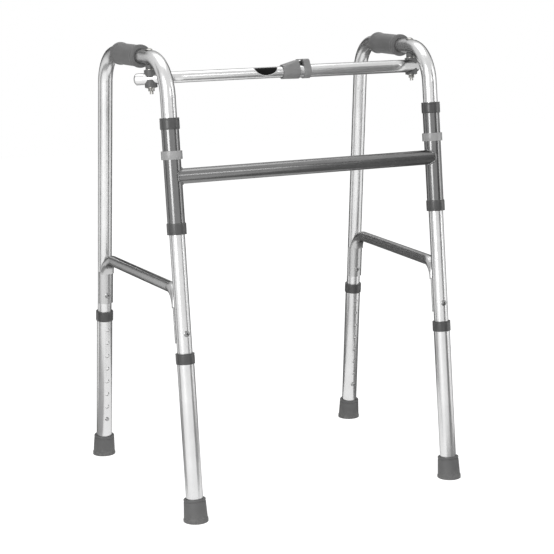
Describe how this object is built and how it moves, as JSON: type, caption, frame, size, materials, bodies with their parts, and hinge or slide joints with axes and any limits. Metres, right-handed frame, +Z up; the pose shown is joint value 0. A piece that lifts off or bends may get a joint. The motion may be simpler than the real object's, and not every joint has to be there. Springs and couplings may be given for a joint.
{
  "type": "folding walking frame",
  "caption": "Folding aluminium walking frame: two toed-out side frames with hand grips, telescopic legs and rubber ferrules, hinged to a front frame and joined by a latched telescopic bar.",
  "frame": {"origin": "on the floor, under the middle of the four feet", "axes": "+Z up; +Y from the front frame towards the user; +X to the left hand of a user who stands between the side frames and faces -Y"},
  "size_m": [0.5638, 0.4579, 0.7765],
  "materials": {
    "satin_aluminium": "satin anodised, fine drawn lines",
    "bright_aluminium": "bright anodised",
    "dark_steel": "dark grey metallic coating",
    "dark_plastic": "fine moulded grain",
    "grey_plastic": "semi-gloss moulded",
    "latch_plastic": "satin moulded",
    "black_plastic": "satin moulded",
    "grip_rubber": "smooth vinyl",
    "foot_rubber": "moulded, slightly dusty",
    "saddle_plastic": "moulded",
    "spring_steel": "rolled",
    "bright_steel": "polished",
    "zinc_steel": "zinc plated"
  },
  "bodies": {
    "front_frame": {"front_crossbar": "dark_steel", "sleeve_left": "dark_steel", "sleeve_bush_upper_left": "dark_plastic", "sleeve_bush_lower_left": "dark_plastic", "sleeve_right": "dark_steel", "sleeve_bush_upper_right": "dark_plastic", "sleeve_bush_lower_right": "dark_plastic"},
    "left_side": {"side_tube_left": "satin_aluminium", "handgrip_left": "grip_rubber", "side_brace_left": "satin_aluminium", "brace_rivets_left": "zinc_steel", "retainer_clip_left": "grey_plastic", "pivot_boss_left": "saddle_plastic", "pivot_bolt_left": "zinc_steel", "leg_button_spring_front_left": "spring_steel", "leg_button_spring_rear_left": "spring_steel", "pivot_nut_left": "zinc_steel", "pivot_washers_left": "zinc_steel"},
    "right_side": {"side_tube_right": "satin_aluminium", "handgrip_right": "grip_rubber", "side_brace_right": "satin_aluminium", "brace_rivets_right": "zinc_steel", "retainer_clip_right": "grey_plastic", "pivot_boss_right": "saddle_plastic", "pivot_bolt_right": "zinc_steel", "leg_button_spring_front_right": "spring_steel", "leg_button_spring_rear_right": "spring_steel"},
    "bar_left": {"bar_inner": "bright_aluminium", "bar_end_cap_left": "bright_aluminium", "pivot_saddles_left": "saddle_plastic", "latch_button_spring": "spring_steel"},
    "bar_right": {"bar_outer": "bright_aluminium", "bar_end_cap_right": "bright_aluminium", "pivot_saddles_right": "saddle_plastic", "pivot_washers_right": "zinc_steel", "pivot_nut_right": "zinc_steel", "pivot_shank_right": "zinc_steel", "latch_ring": "latch_plastic"},
    "latch_collar": {"latch_collar": "latch_plastic"},
    "latch_button": {"latch_button": "black_plastic"},
    "leg_front_left": {"lower_leg_front_left": "bright_aluminium", "leg_collar_front_left": "dark_plastic", "ferrule_front_left": "foot_rubber", "ferrule_disc_front_left": "zinc_steel"},
    "button_front_left": {"leg_button_front_left": "bright_steel"},
    "leg_rear_left": {"lower_leg_rear_left": "bright_aluminium", "leg_collar_rear_left": "dark_plastic", "ferrule_rear_left": "foot_rubber", "ferrule_disc_rear_left": "zinc_steel"},
    "button_rear_left": {"leg_button_rear_left": "bright_steel"},
    "leg_front_right": {"lower_leg_front_right": "bright_aluminium", "leg_collar_front_right": "dark_plastic", "ferrule_front_right": "foot_rubber", "ferrule_disc_front_right": "zinc_steel"},
    "button_front_right": {"leg_button_front_right": "bright_steel"},
    "leg_rear_right": {"lower_leg_rear_right": "bright_aluminium", "leg_collar_rear_right": "dark_plastic", "ferrule_rear_right": "foot_rubber", "ferrule_disc_rear_right": "zinc_steel"},
    "button_rear_right": {"leg_button_rear_right": "bright_steel"}
  },
  "joints": [
    {"name": "fold_left", "type": "hinge", "parent": "front_frame", "child": "left_side", "pos_m": [-0.245, -0.208, 0], "axis": [0, -0.1115, -0.9938], "range_deg": [0, 84]},
    {"name": "fold_right", "type": "hinge", "parent": "front_frame", "child": "right_side", "pos_m": [0.245, -0.208, 0], "axis": [0, 0.1115, 0.9938], "range_deg": [0, 58.8]},
    {"name": "bar_pivot", "type": "hinge", "parent": "left_side", "child": "bar_left", "pos_m": [-0.24753, -0.06062, 0.72227], "axis": [0, 0.1115, 0.9938], "range_deg": [0, 88.17]},
    {"name": "bar_slide", "type": "slide", "parent": "bar_left", "child": "bar_right", "axis": [-1, 0, 0], "range_m": [0, 0.12451], "deforming": ["latch_button"]},
    {"name": "latch_slide", "type": "slide", "parent": "bar_right", "child": "latch_collar", "axis": [1, 0, 0], "range_m": [0, 0.006], "stiffness_N_per_m": 300},
    {"name": "latch_press", "type": "slide", "parent": "bar_left", "child": "latch_button", "axis": [0, -0.1115, -0.9938], "range_m": [0, 0.0076], "stiffness_N_per_m": 300, "deforming": ["latch_button_spring"]},
    {"name": "leg_slide_front_left", "type": "slide", "parent": "left_side", "child": "leg_front_left", "axis": [0, -0.1115, -0.9938], "range_m": [0, 0.175], "deforming": ["leg_button_front_left"]},
    {"name": "leg_button_front_left", "type": "slide", "parent": "left_side", "child": "button_front_left", "axis": [0.0384, -0.993, 0.1114], "range_m": [0, 0.0037], "stiffness_N_per_m": 800, "deforming": ["leg_button_spring_front_left"]},
    {"name": "leg_slide_rear_left", "type": "slide", "parent": "left_side", "child": "leg_rear_left", "axis": [-0.0077, 0.0887, -0.996], "range_m": [0, 0.175], "deforming": ["leg_button_rear_left"]},
    {"name": "leg_button_rear_left", "type": "slide", "parent": "left_side", "child": "button_rear_left", "axis": [-0.0376, 0.9953, 0.089], "range_m": [0, 0.0037], "stiffness_N_per_m": 800, "deforming": ["leg_button_spring_rear_left"]},
    {"name": "leg_slide_front_right", "type": "slide", "parent": "right_side", "child": "leg_front_right", "axis": [0, -0.1115, -0.9938], "range_m": [0, 0.175], "deforming": ["leg_button_front_right"]},
    {"name": "leg_button_front_right", "type": "slide", "parent": "right_side", "child": "button_front_right", "axis": [-0.0384, -0.993, 0.1114], "range_m": [0, 0.0037], "stiffness_N_per_m": 800, "deforming": ["leg_button_spring_front_right"]},
    {"name": "leg_slide_rear_right", "type": "slide", "parent": "right_side", "child": "leg_rear_right", "axis": [0.0077, 0.0887, -0.996], "range_m": [0, 0.175], "deforming": ["leg_button_rear_right"]},
    {"name": "leg_button_rear_right", "type": "slide", "parent": "right_side", "child": "button_rear_right", "axis": [0.0376, 0.9953, 0.089], "range_m": [0, 0.0037], "stiffness_N_per_m": 800, "deforming": ["leg_button_spring_rear_right"]}
  ],
  "couplings": [
    {"joint": "fold_right", "follows": "fold_left", "ratio": 0.7},
    {"joint": "bar_pivot", "follows": "fold_left", "ratio": 1.0496},
    {"joint": "bar_slide", "follows": "fold_left", "m_per_rad": 0.08493},
    {"joint": "latch_press", "follows": "latch_slide", "ratio": 1.2667}
  ]
}
